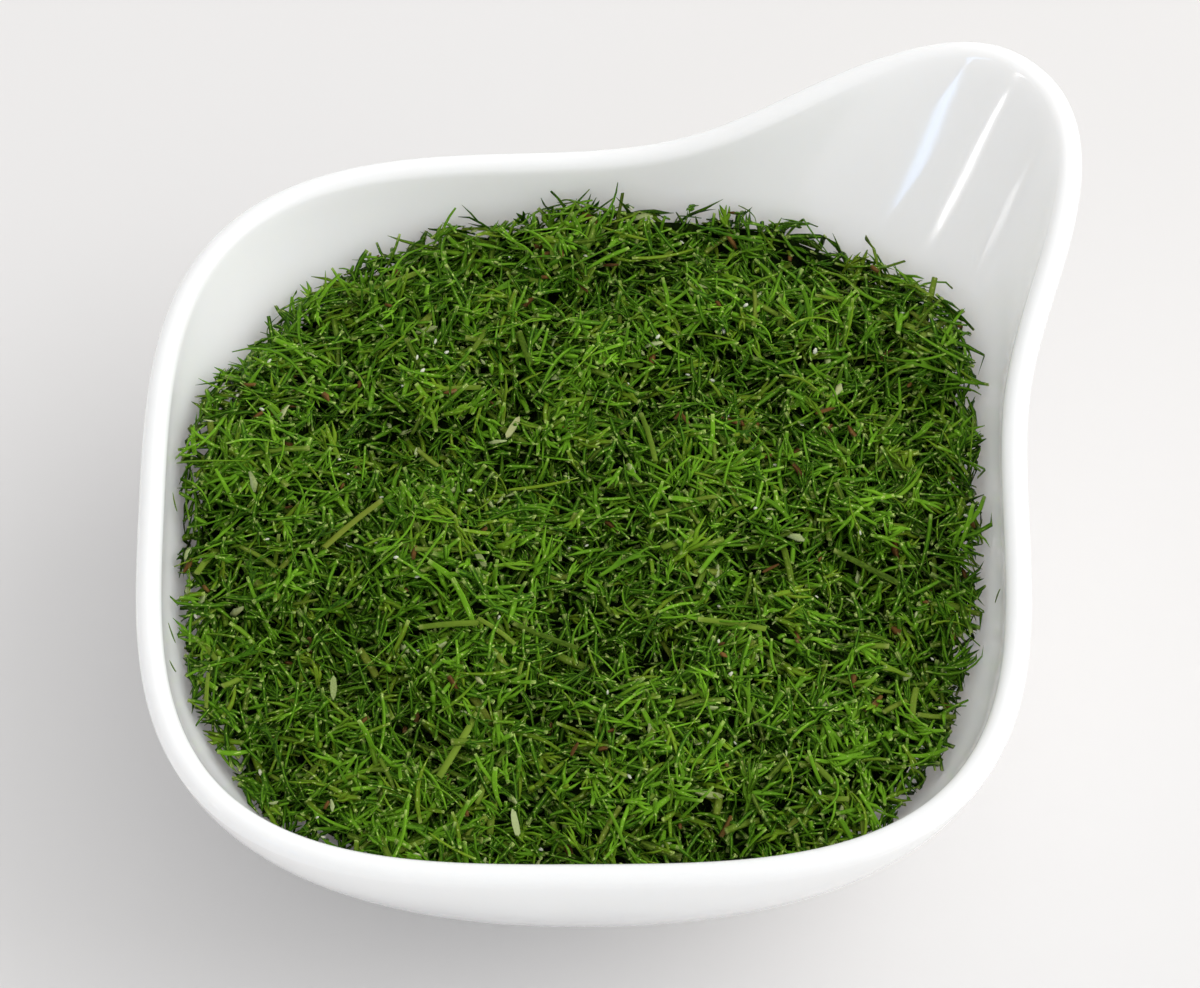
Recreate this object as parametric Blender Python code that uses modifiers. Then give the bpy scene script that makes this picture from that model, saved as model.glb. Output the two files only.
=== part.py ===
"""A white porcelain tasting dish with one corner drawn up into a handle, filled with chopped dill.

The dish is a closed loft from its foot ring, out and up the outer wall, over the rounded rim and down the
inner wall. The dill is one mound that fills the dish, with the larger cuttings lying on it as pieces of
their own.
Metres, +Z up. The origin is under the middle of the dish's box, on the surface that the dish stands on.
"""

import math
import random

import bmesh
import bpy
from mathutils import Matrix, Vector
from mathutils.bvhtree import BVHTree

# Dish, in plan
BODY_HALF = 0.045  # half the width of the squarish body, at the rim
BODY_SQUARENESS = 3.25  # exponent of the superellipse: 2 is round, large is square
FOOT_HALF = 0.0292
FOOT_SQUARENESS = 2.1
HANDLE_TURN = math.radians(45)  # the corner that the handle is drawn from
HANDLE_REACH = 0.0154
HANDLE_SPREAD = 0.335  # radians from the handle's middle to its shoulder
HANDLE_BLUNTNESS = 2.35

# Dish, in height
FOOT_HEIGHT = 0.003
RIM_HEIGHT = 0.032
HANDLE_RISE = 0.0108
RISE_SPREAD = 0.433
HANDLE_FLARE = 0.75  # 0 leaves the wall upright at the rim, 1 makes it a straight cone
CORNER_FLARE = 0.28

# Dish, in section
WALL = 0.0026
FOOT_RING = 0.0026
FOOT_EDGE = 0.0005
RECESS_HEIGHT = 0.0019
FLOOR_HEIGHT = 0.0045

# Dill
GAP = 0.0003  # between touching solids
DILL_LEVEL = 0.0248  # where the dill meets the wall
DILL_SWELLS = (  # the turn, the spread in radians and the height of each swell of its edge
    (math.radians(135), 0.38, -0.0042),  # sunk in the back left corner
    (math.radians(50), 0.30, -0.0026),  # and in the back right corner
    (math.radians(82), 0.34, 0.0026),  # piled up between them
    (math.radians(168), 0.20, 0.0014),  # and a little at the left
    (math.radians(-28), 0.50, -0.0050),  # sunk along the right wall, towards the front
    (math.radians(-142), 0.36, -0.0030),  # and in the front left corner
)
MIDDLE_LEVEL = 0.0284
MOUND_FULLNESS = 2.4  # 1 is a cone, large is a flat top with a steep edge
LUMP = 0.0005
LUMP_WAVES = (190, 160, 270)  # radians per metre, across, along and slantwise
MOUND_SHARES = (0.93, 0.8, 0.62, 0.42, 0.2)  # where the mound's rings are, as shares of the way out
HEAP_FOOT = 0.06  # how far up the wall the mound's flat bottom is, as a rise

# Larger cuttings: each range holds the least and the most
CLEAR_OF_WALL = 0.0054  # from the dill's edge in to the nearest cutting's middle
SPACING = 0.0078  # between the middles of two cuttings
NEEDLE_LENGTH = (0.0052, 0.0088)
NEEDLE_WIDTH = (0.00050, 0.00062)
NEEDLE_BOW = 0.0007
NEEDLE_TAPER = (0.85, 1.0, 0.95, 0.75, 0.3)  # widths along it, as shares
SLICE_LENGTH = (0.0045, 0.0085)
SLICE_WIDTH = (0.0009, 0.00125)
SLICE_BOW = 0.0003
SLICE_TAPER = (0.96, 1.0, 0.97, 0.88)
BIT_LENGTH = (0.0014, 0.0028)
BIT_WIDTH = (0.0005, 0.0008)
BIT_BOW = 0.0002
BIT_TAPER = (0.7, 1.0, 0.6)
FLAKE_LENGTH = (0.0022, 0.0032)
FLAKE_WIDTH = (0.32, 0.45)  # as a share of its length
FLAKE_THICKNESS = 0.00028
FORK_LENGTH = (0.0050, 0.0078)
FORK_WIDTH = (0.00050, 0.00060)
FORK_JOINTS = ((-0.12, 0.08), (-0.2, 0.1), (0.0,))  # where leaflets may leave the stalk, as shares of it
LEAFLET_LENGTH = (0.3, 0.42)  # as a share of the stalk's
LEAFLET_TURN = (0.5, 0.8)
LEAFLET_LIFT = 0.06  # how steeply a leaflet rises from its stalk
FLATNESS = 0.7  # height of a needle or a stalk, as a share of its width
TIP = 0.32  # width of a stalk's tip, as a share of its width

# Strands that cling to the wall, each at a turn and a rise
STRAND_PLACES = (
    (math.radians(176), 0.86),
    (math.radians(197), 0.88),
    (math.radians(203), 0.93),
    (math.radians(-12), 0.9),
)
STRAND_LENGTH = (0.0022, 0.0034)
STRAND_WIDTH = 0.00034
STRAND_BOW = (0.0002, 0.0004)
STRAND_TAPER = (0.6, 1.0, 0.9, 0.5)
STRAND_FLATNESS = 0.8
STRAND_SWING = 0.5
STRAND_CLEAR = 0.0003

# Mesh fineness
TURNS = 80
HEAP_TURNS = 56
WALL_STEPS = 8
RIM_STEPS = 5
HEAP_STEPS = 4

SEED = 7
DISH = "dish_of_chopped_dill"


def clear_scene():
    for obj in list(bpy.data.objects):
        bpy.data.objects.remove(obj)


def collection(name):
    made = bpy.data.collections.new(name)
    bpy.context.scene.collection.children.link(made)
    return made


def finish(name, colour, roughness, coat=0.0):
    """A plain Principled material."""
    made = bpy.data.materials.new(name)
    made.use_nodes = True
    shader = made.node_tree.nodes["Principled BSDF"]
    shader.inputs["Base Color"].default_value = (*colour, 1.0)
    shader.inputs["Roughness"].default_value = roughness
    shader.inputs["Coat Weight"].default_value = coat
    return made


def add_mesh(name, mesh, material, parts):
    mesh.materials.append(material)
    mesh.shade_smooth()
    obj = bpy.data.objects.new(name, mesh)
    parts.objects.link(obj)
    return obj


# The dish's surfaces


def superellipse(turn, half, squareness):
    across = abs(math.cos(turn)) ** squareness
    along = abs(math.sin(turn)) ** squareness
    return half * (across + along) ** (-1 / squareness)


def angle_from(turn, middle):
    """The angle from the middle, between -pi and pi."""
    return (turn - middle + math.pi) % (2 * math.pi) - math.pi


def handle_share(turn):
    """1 at the handle's middle, falling to 0 on the body."""
    return math.exp(-((abs(angle_from(turn, HANDLE_TURN)) / HANDLE_SPREAD) ** HANDLE_BLUNTNESS))


def rim_reach(turn):
    return superellipse(turn, BODY_HALF, BODY_SQUARENESS) + HANDLE_REACH * handle_share(turn)


def foot_reach(turn):
    return superellipse(turn, FOOT_HALF, FOOT_SQUARENESS)


def rim_height(turn):
    return RIM_HEIGHT + HANDLE_RISE * math.exp(-((angle_from(turn, HANDLE_TURN) / RISE_SPREAD) ** 2))


def at(turn, reach, height):
    return Vector((reach * math.cos(turn), reach * math.sin(turn), height))


def outer_point(turn, rise):
    """A point of the outer wall, from the foot at rise 0 to where the rim's rounding starts at rise 1."""
    flare = CORNER_FLARE * math.sin(2 * turn) ** 2
    flare += (HANDLE_FLARE - flare) * handle_share(turn)
    down = 1 - rise
    tuck = (1 - flare) * down**2 + flare * down
    reach = rim_reach(turn) - (rim_reach(turn) - foot_reach(turn)) * tuck
    top = rim_height(turn) - WALL / 2
    return at(turn, reach, FOOT_HEIGHT + (top - FOOT_HEIGHT) * rise)


def outer_normal(turn, rise, step=1e-4):
    along = outer_point(turn + step, rise) - outer_point(turn - step, rise)
    up = outer_point(turn, rise + step) - outer_point(turn, rise - step)
    return along.cross(up).normalized()


def inner_point(turn, rise, gap=0.0):
    return outer_point(turn, rise) - outer_normal(turn, rise) * (WALL + gap)


def rim_point(turn, swing):
    """A point of the rim's half round, from the outer wall at swing 0 to the inner wall at swing pi."""
    normal = outer_normal(turn, 1.0)
    up = (outer_point(turn, 1.0) - outer_point(turn, 0.999)).normalized()
    middle = outer_point(turn, 1.0) - normal * (WALL / 2)
    return middle + (normal * math.cos(swing) + up * math.sin(swing)) * (WALL / 2)


def even_turns(count, fine=1440):
    """Turns that are evenly spaced along the rim's outline."""
    points = [at(i * 2 * math.pi / fine, rim_reach(i * 2 * math.pi / fine), 0) for i in range(fine + 1)]
    lengths = [0.0]
    for before, after in zip(points, points[1:]):
        lengths.append(lengths[-1] + (after - before).length)
    turns = []
    for k in range(count):
        wanted = lengths[-1] * k / count
        i = next(i for i in range(fine) if lengths[i + 1] > wanted)
        part = (wanted - lengths[i]) / (lengths[i + 1] - lengths[i])
        turns.append((i + part) * 2 * math.pi / fine)
    return turns


# Lofts


def loft(name, rings, first, last, shift):
    """A closed mesh through the rings, with a point at each end."""
    mesh = bmesh.new()
    start = mesh.verts.new(first + shift)
    end = mesh.verts.new(last + shift)
    rows = [[mesh.verts.new(point + shift) for point in ring] for ring in rings]
    count = len(rows[0])
    for k in range(count):
        after = (k + 1) % count
        mesh.faces.new((start, rows[0][after], rows[0][k]))
        mesh.faces.new((end, rows[-1][k], rows[-1][after]))
        for lower, upper in zip(rows, rows[1:]):
            mesh.faces.new((lower[k], lower[after], upper[after], upper[k]))
    bmesh.ops.recalc_face_normals(mesh, faces=mesh.faces)
    made = bpy.data.meshes.new(name)
    mesh.to_mesh(made)
    mesh.free()
    return made


def dish_rings(turns):
    """The dish's sections, from the recess under it, over the rim, to the floor inside it."""
    inside_ring = [(0.5, RECESS_HEIGHT), (0.92, RECESS_HEIGHT)]
    rings = [[at(t, (foot_reach(t) - FOOT_RING) * share, z) for t in turns] for share, z in inside_ring]
    insets = (FOOT_RING, FOOT_RING - FOOT_EDGE, 2 * FOOT_EDGE, FOOT_EDGE)
    heights = (FOOT_EDGE, 0.0, 0.0, FOOT_EDGE)
    rings += [[at(t, foot_reach(t) - inset, z) for t in turns] for inset, z in zip(insets, heights)]
    rises = [k / WALL_STEPS for k in range(WALL_STEPS + 1)]
    rings += [[outer_point(t, rise) for t in turns] for rise in rises]
    swings = [math.pi * k / RIM_STEPS for k in range(1, RIM_STEPS)]
    rings += [[rim_point(t, swing) for t in turns] for swing in swings]
    rings += [[inner_point(t, rise) for t in turns] for rise in reversed(rises)]
    edge = [inner_point(t, 0.0) for t in turns]
    for share, sink in ((0.85, 0.7), (0.5, 1.0)):
        rings.append([floor_point(point, share, sink) for point in edge])
    return rings


def floor_point(edge, share, sink):
    """A point of the floor, part of the way in from the wall's lowest ring and part of the way down."""
    return Vector((edge.x * share, edge.y * share, edge.z + (FLOOR_HEIGHT - edge.z) * sink))


def make_dish(turns, shift, parts):
    porcelain = finish("glazed_porcelain", (0.86, 0.86, 0.85), 0.08, coat=0.5)
    mesh = loft("dish", dish_rings(turns), Vector((0, 0, RECESS_HEIGHT)), Vector((0, 0, FLOOR_HEIGHT)), shift)
    return add_mesh("dish", mesh, porcelain, parts)


# The dill


def dill_level(turn):
    """Height of the dill where it meets the wall."""
    level = DILL_LEVEL
    for middle, spread, height in DILL_SWELLS:
        level += height * math.exp(-((angle_from(turn, middle) / spread) ** 2))
    return level


def dill_rise(turn):
    """How far up the wall the dill reaches, as a rise."""
    top = rim_height(turn) - WALL / 2
    return (dill_level(turn) - FOOT_HEIGHT) / (top - FOOT_HEIGHT)


def dill_reach(turn):
    return inner_point(turn, dill_rise(turn), GAP).xy.length


def mound_height(edge, share):
    """Height of the mound's surface, part of the way out to this point of its edge."""
    x, y = edge.x * share, edge.y * share
    across, along, slant = LUMP_WAVES
    lumps = math.sin(x * across + 0.7) * math.cos(y * along - 0.4) + 0.6 * math.sin((x - y) * slant + 1.9)
    crown = MIDDLE_LEVEL + LUMP * lumps
    return crown + (edge.z - crown) * share**MOUND_FULLNESS


def heap_rings(turns):
    """The mound's sections: up along the dish's inner wall, then in over its top."""
    rings = []
    for k in range(HEAP_STEPS + 1):
        share = k / HEAP_STEPS
        rings.append([inner_point(t, HEAP_FOOT + (dill_rise(t) - HEAP_FOOT) * share, GAP) for t in turns])
    edge = rings[-1]
    for share in MOUND_SHARES:
        rings.append([Vector((p.x * share, p.y * share, mound_height(p, share))) for p in edge])
    return rings


def make_heap(shift, parts):
    green = finish("dill_green", (0.05, 0.16, 0.02), 0.6)
    rings = heap_rings(even_turns(HEAP_TURNS))
    low, high = (Vector((0, 0, sum(point.z for point in ring) / len(ring))) for ring in (rings[0], rings[-1]))
    mesh = loft("dill_heap", rings, low, high, shift)
    return add_mesh("dill_heap", mesh, green, parts)


# The larger cuttings that lie on the heap


def cutting(name, points, widths, flatness, sides, material, parts):
    """A closed piece of leaf or stem along flat points: a bevelled curve with filled ends."""
    curve = bpy.data.curves.new(name, "CURVE")
    curve.dimensions = "3D"
    curve.bevel_depth = 0.5
    curve.bevel_resolution = (sides - 4) // 2
    curve.use_fill_caps = True
    spline = curve.splines.new("POLY")
    spline.points.add(len(points) - 1)
    for place, (x, y), width in zip(spline.points, points, widths):
        place.co = (x, y, 0, 1)
        place.radius = width
    curve.materials.append(material)
    obj = bpy.data.objects.new(name, curve)
    obj.scale.z = flatness
    parts.objects.link(obj)
    return obj


def bent(length, bend, steps):
    """Points of a shallow arc along X, centred on the origin, bowed by bend."""
    shares = [k / steps for k in range(steps + 1)]
    return [(length * (s - 0.5), 4 * bend * (s * (1 - s) - 0.125)) for s in shares]


def make_needle(name, draw, material, parts):
    length = draw.uniform(*NEEDLE_LENGTH)
    width = draw.uniform(*NEEDLE_WIDTH)
    points = bent(length, draw.uniform(-NEEDLE_BOW, NEEDLE_BOW), len(NEEDLE_TAPER) - 1)
    widths = [width * share for share in NEEDLE_TAPER]
    return cutting(name, points, widths, FLATNESS, 6, material, parts), length, width


def make_slice(name, draw, material, parts):
    length = draw.uniform(*SLICE_LENGTH)
    width = draw.uniform(*SLICE_WIDTH)
    points = bent(length, draw.uniform(-SLICE_BOW, SLICE_BOW), len(SLICE_TAPER) - 1)
    widths = [width * share for share in SLICE_TAPER]
    return cutting(name, points, widths, 0.5, 8, material, parts), length, width


def make_bit(name, draw, material, parts):
    length = draw.uniform(*BIT_LENGTH)
    width = draw.uniform(*BIT_WIDTH)
    points = bent(length, draw.uniform(-BIT_BOW, BIT_BOW), len(BIT_TAPER) - 1)
    widths = [width * share for share in BIT_TAPER]
    return cutting(name, points, widths, 0.6, 6, material, parts), length, width


def make_flake(name, draw, material, parts):
    """A thin chip: an uneven outline of eight corners, given its thickness by Solidify."""
    length = draw.uniform(*FLAKE_LENGTH)
    width = length * draw.uniform(*FLAKE_WIDTH)
    outline = bmesh.new()
    bmesh.ops.create_circle(outline, cap_ends=True, segments=8, radius=0.5)
    for vertex in outline.verts:
        grow = draw.uniform(0.8, 1.1)
        vertex.co = Vector((vertex.co.x * length * grow, vertex.co.y * width * grow, 0))
    mesh = bpy.data.meshes.new(name)
    outline.to_mesh(mesh)
    outline.free()
    mesh.materials.append(material)
    obj = bpy.data.objects.new(name, mesh)
    parts.objects.link(obj)
    shell = obj.modifiers.new("thickness", "SOLIDIFY")
    shell.thickness = FLAKE_THICKNESS
    shell.offset = 0
    return obj, length, FLAKE_THICKNESS


def make_fork(name, draw, material, parts):
    """A stalk with one or two leaflets: tapered cones joined into one body."""
    length = draw.uniform(*FORK_LENGTH)
    width = draw.uniform(*FORK_WIDTH)
    obj = spike(name, length, width, parts)
    obj.data.materials.append(material)
    side = draw.choice((-1, 1))
    for joint in draw.choice(FORK_JOINTS):
        side = -side
        leaflet = spike(f"{name}_leaflet", length * draw.uniform(*LEAFLET_LENGTH), width * 0.8, parts)
        angle = side * draw.uniform(*LEAFLET_TURN)
        out = Vector((math.cos(angle), math.sin(angle), LEAFLET_LIFT)) * leaflet.dimensions.x * 0.42
        turned = Matrix.Rotation(angle, 4, "Z") @ Matrix.Rotation(-LEAFLET_LIFT, 4, "Y")
        leaflet.data.transform(Matrix.Translation(Vector((joint * length, 0, 0)) + out) @ turned)
        weld(obj, leaflet)
    return obj, length, width


def spike(name, length, width, parts):
    """A needle along X: a six sided cone with a narrow tip, flattened."""
    shape = bmesh.new()
    lie_down = Matrix.Diagonal((1, 1, FLATNESS, 1)) @ Matrix.Rotation(math.pi / 2, 4, "Y")
    bmesh.ops.create_cone(
        shape,
        cap_ends=True,
        segments=6,
        radius1=width / 2,
        radius2=width * TIP / 2,
        depth=length,
        matrix=lie_down,
    )
    mesh = bpy.data.meshes.new(name)
    shape.to_mesh(mesh)
    shape.free()
    obj = bpy.data.objects.new(name, mesh)
    parts.objects.link(obj)
    bpy.context.view_layer.update()
    return obj


def weld(obj, other):
    """Join the other object into this one with a Boolean, and remove it.

    The Boolean works at a thousand times the size, because it merges points that are very near each other.
    """
    for piece in (obj, other):
        piece.data.transform(Matrix.Scale(1000, 4))
    union = obj.modifiers.new("union", "BOOLEAN")
    union.operation = "UNION"
    union.solver = "EXACT"
    union.object = other
    bpy.context.view_layer.update()
    joined = bpy.data.meshes.new_from_object(obj.evaluated_get(bpy.context.evaluated_depsgraph_get()))
    joined.transform(Matrix.Scale(0.001, 4))
    obj.modifiers.remove(union)
    obj.data = joined
    bpy.data.objects.remove(other)


def ground_at(tree, x, y):
    """Height of the surface under this place."""
    return tree.ray_cast(Vector((x, y, 1.0)), Vector((0, 0, -1)))[0].z


def lay(obj, length, thick, x, y, yaw, tree):
    """Rest the piece on the surface, with the gap that touching solids keep."""
    along = Vector((math.cos(yaw), math.sin(yaw), 0))
    reaches = [length * (k / 6 - 0.5) for k in range(7)]
    heights = [ground_at(tree, x + along.x * r, y + along.y * r) for r in reaches]
    slope = math.atan2(heights[-1] - heights[0], length)
    middle = (heights[0] + heights[-1]) / 2
    proud = max(h - (middle + math.tan(slope) * r) for h, r in zip(heights, reaches))
    obj.location = (x, y, middle + proud + thick / 2 + 1.4 * GAP)
    obj.rotation_euler = (0, -slope, yaw)


def scatter_places(draw, count):
    """Places on the heap, none nearer to another than the spacing."""
    places = []
    while len(places) < count:
        turn = draw.uniform(-math.pi, math.pi)
        reach = (dill_reach(turn) - CLEAR_OF_WALL) * math.sqrt(draw.uniform(0, 1))
        x, y = reach * math.cos(turn), reach * math.sin(turn)
        if all(math.hypot(x - a, y - b) > SPACING for a, b in places):
            places.append((x, y))
    return places


KINDS = (
    ("stem_slice", 12, make_slice, "stem_olive", (0.22, 0.30, 0.05)),
    ("long_needle", 14, make_needle, "leaf_green", (0.08, 0.24, 0.02)),
    ("leaf_fork", 14, make_fork, "leaf_green", (0.08, 0.24, 0.02)),
    ("pale_flake", 8, make_flake, "pale_flake", (0.55, 0.60, 0.40)),
    ("brown_bit", 4, make_bit, "brown_bit", (0.16, 0.06, 0.02)),
)


def make_cuttings(heap, shift, parts):
    draw = random.Random(SEED)
    tree = BVHTree.FromObject(heap, bpy.context.evaluated_depsgraph_get())
    total = sum(count for _, count, *_ in KINDS)
    places = scatter_places(draw, total)
    draw.shuffle(places)
    finishes = {}
    for kind, count, make, look, colour in KINDS:
        if look not in finishes:
            finishes[look] = finish(look, colour, 0.5)
        for number in range(1, count + 1):
            obj, length, thick = make(f"{kind}_{number:02d}", draw, finishes[look], parts)
            x, y = places.pop()
            lay(obj, length, thick, x + shift.x, y + shift.y, draw.uniform(0, math.pi), tree)


def make_wall_strands(shift, parts):
    """Thin strands that cling to the inner wall above the dill."""
    draw = random.Random(SEED + 1)
    dark = finish("strand_green", (0.05, 0.12, 0.02), 0.5)
    for number, (turn, rise) in enumerate(STRAND_PLACES, 1):
        obj = cutting(
            f"wall_strand_{number:02d}",
            bent(draw.uniform(*STRAND_LENGTH), draw.uniform(*STRAND_BOW), len(STRAND_TAPER) - 1),
            [STRAND_WIDTH * share for share in STRAND_TAPER],
            STRAND_FLATNESS,
            6,
            dark,
            parts,
        )
        normal = outer_normal(turn, rise)
        up = (outer_point(turn, rise + 0.01) - outer_point(turn, rise - 0.01)).normalized()
        across = up.cross(normal)
        place = inner_point(turn, rise, STRAND_CLEAR + STRAND_WIDTH / 2)
        frame = Matrix((up, across, normal)).transposed().to_4x4()
        swing = Matrix.Rotation(draw.uniform(-STRAND_SWING, STRAND_SWING), 4, "Z")
        squash = Matrix.Diagonal((1, 1, STRAND_FLATNESS, 1))
        obj.matrix_world = Matrix.Translation(place + shift) @ frame @ swing @ squash


def box_middle(turns):
    """Where the middle of the dish's box is, in plan, before it is moved over the origin."""
    points = [rim_point(t, math.pi * k / RIM_STEPS) for t in turns for k in range(RIM_STEPS + 1)]
    middles = [(min(p[i] for p in points) + max(p[i] for p in points)) / 2 for i in range(2)]
    return Vector((*middles, 0))


def main():
    clear_scene()
    parts = collection(DISH)
    turns = even_turns(TURNS)
    shift = -box_middle(turns)
    make_dish(turns, shift, parts)
    heap = make_heap(shift, parts)
    bpy.context.view_layer.update()
    make_cuttings(heap, shift, parts)
    make_wall_strands(shift, parts)


main()
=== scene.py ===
"""The finished look of a white porcelain tasting dish heaped with chopped dill.

Geometry Nodes make the dish and every loose cutting. One tree bends a sheet into the dish from
its measures. Another strews small leaf and stem shapes over the heap, and keeps them inside the
wall. Lengths are in metres, along the frame's own axes.
"""

import math
import random

import bmesh
import bpy
from mathutils import Matrix, Vector


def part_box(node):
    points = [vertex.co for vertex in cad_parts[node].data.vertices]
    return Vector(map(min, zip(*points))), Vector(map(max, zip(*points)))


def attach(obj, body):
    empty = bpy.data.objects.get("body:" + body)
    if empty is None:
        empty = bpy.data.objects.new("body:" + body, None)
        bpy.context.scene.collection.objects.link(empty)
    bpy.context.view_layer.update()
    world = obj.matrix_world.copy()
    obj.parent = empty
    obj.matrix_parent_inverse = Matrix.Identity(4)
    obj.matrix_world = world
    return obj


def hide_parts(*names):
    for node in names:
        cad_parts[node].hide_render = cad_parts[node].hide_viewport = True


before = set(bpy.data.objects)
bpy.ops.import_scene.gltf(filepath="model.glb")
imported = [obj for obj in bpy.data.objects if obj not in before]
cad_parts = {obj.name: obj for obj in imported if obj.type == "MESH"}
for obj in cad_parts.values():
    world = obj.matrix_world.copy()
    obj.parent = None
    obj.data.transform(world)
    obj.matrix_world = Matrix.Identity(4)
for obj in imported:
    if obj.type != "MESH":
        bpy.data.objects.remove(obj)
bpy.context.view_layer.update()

# Measures of the dish
DISH_SIZES = {
    "Body Half": 0.045,
    "Body Squareness": 3.25,
    "Foot Half": 0.0292,
    "Foot Squareness": 2.1,
    "Foot Height": 0.003,
    "Rim Height": 0.032,
    "Handle Turn": math.radians(45),
    "Handle Reach": 0.0154,
    "Handle Spread": 0.335,
    "Handle Bluntness": 2.35,
    "Handle Rise": 0.0108,
    "Rise Spread": 0.433,
    "Handle Flare": 0.75,
    "Corner Flare": 0.28,
    "Wall": 0.0026,
}
FLOOR_HEIGHT = 0.0045
DISH_TURNS = 361
SECTION_STEPS = 161
SEAM = 0.00001  # points of the bent sheet that are nearer than this are joined
SLOPE_STEP = 0.0005  # the small step round or down the wall that gives its direction

# The dish's section, as shares of the way along it
FOOT_END = 0.14
RIM_START = 0.45
RIM_END = 0.58
FLOOR_START = 0.90
# Under the foot: how far out, as a share of the foot's reach, and how high, as a share of its height
FOOT_SPREAD = ((0, 0), (0.5, 0.88), (0.56, 0.895), (0.6, 0.91), (0.8, 0.97), (0.88, 0.985), (1, 1))
FOOT_HEIGHTS = ((0, 0.633), (0.5, 0.633), (0.56, 0.2), (0.6, 0), (0.8, 0), (0.88, 0.2), (1, 1))

DISH_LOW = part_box("dish")[0]
MIDDLE = Vector((DISH_LOW.x + DISH_SIZES["Body Half"], DISH_LOW.y + DISH_SIZES["Body Half"], 0))
RIM_MIDDLE = MIDDLE + Vector((0, 0, DISH_SIZES["Rim Height"]))

TABLE_SIZE = 3.0
TABLE_GAP = 0.0001  # how far the table top lies under the foot

# Camera: it looks at a point this high over the dish's middle, then turns a little to frame it
VIEW_DISTANCE = 0.600
VIEW_HEIGHT = math.radians(55.27)
TARGET_HEIGHT = 0.0315
LENS = 178.1
SENSOR_WIDTH = 36.0
NEAREST_SEEN = 0.01
AIM_RIGHT = 0.00168
AIM_UP = 0.00086

# The room's own light
ROOM_STRENGTH = 0.92
ROOM_COLOUR = (1.0, 0.997, 0.99, 1)
# How much brighter the room is towards the right, the back and the ceiling
ROOM_LEAN = (0.54, 0.10, 0.04)
# Soft lamps: place from the rim's middle, size, power and colour
LAMPS = (
    ("window", (0.98, 0.20, 0.86), (1.4, 1.1), 6.5, (1.0, 1.0, 1.0)),
)
# Narrow lamps that show as streaks in the glaze: both ends, width, power and colour
STREAKS = (
    ("blue_streak", (-0.430, -0.672, 0.255), (-0.590, -0.477, 0.375), 0.038, 0.26, (0.40, 0.62, 1.0)),
    ("white_streak", (-0.751, -0.302, 0.250), (-0.742, -0.242, 0.346), 0.016, 0.15, (1.0, 1.0, 1.0)),
    ("side_glint", (-0.850, 0.150, 0.080), (-0.842, 0.085, 0.150), 0.034, 0.030, (1.0, 1.0, 1.0)),
)

# The heap
CORE_SINK = 0.0021
CORE_INSET = -0.045  # the share of its reach that the core's side moves outwards, so it goes inwards
CLUMP_SIZE = 0.0100
CLUMP_HEIGHT = 0.0038
WALL_GAP = 0.0001
RAY_REACH = 0.1
FOLD_BACK = 1.2  # how far a point that is past the wall goes back, beside how far past it is
HOLLOW_SHARE = 0.5  # the share of the loose cuttings that stay in the hollows between clumps
STEEPEST = 0.3  # cuttings lie only where the mound's normal points upwards by more than this
MOST_ROLL = 0.6
SEED_SPREAD = 31.0  # keeps the random numbers of one layer apart from those of the next
BAKE_CELLS = 72  # each loose piece's bake map is this many cells each way, one for each cutting
CELL_MARGIN = 0.15
PER_SQUARE_MM = 1e6

# Joining a solid's loose triangles: nearest points, most fold and skew of a face, and sharp edges
SAME_POINT = 1e-6
MOST_FOLD = 0.7
MOST_SKEW = 2.2
SHARP_EDGE = math.radians(55)

FLOAT, INTEGER = "NodeSocketFloat", "NodeSocketInt"
VECTOR, COLOUR = "NodeSocketVector", "NodeSocketColor"
GEOMETRY, MATERIAL = "NodeSocketGeometry", "NodeSocketMaterial"
OBJECT, COLLECTION = "NodeSocketObject", "NodeSocketCollection"


# A short way to write node trees


class Term:
    """A number in a tree: arithmetic on it adds Math nodes."""

    def __init__(self, wiring, socket):
        self.wiring = wiring
        self.socket = socket

    def __add__(self, other):
        return self.wiring.math("ADD", self, other)

    def __sub__(self, other):
        return self.wiring.math("SUBTRACT", self, other)

    def __rsub__(self, other):
        return self.wiring.math("SUBTRACT", other, self)

    def __mul__(self, other):
        return self.wiring.math("MULTIPLY", self, other)

    def __truediv__(self, other):
        return self.wiring.math("DIVIDE", self, other)

    def __rtruediv__(self, other):
        return self.wiring.math("DIVIDE", other, self)

    def __pow__(self, other):
        return self.wiring.math("POWER", self, other)

    __radd__ = __add__


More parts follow.
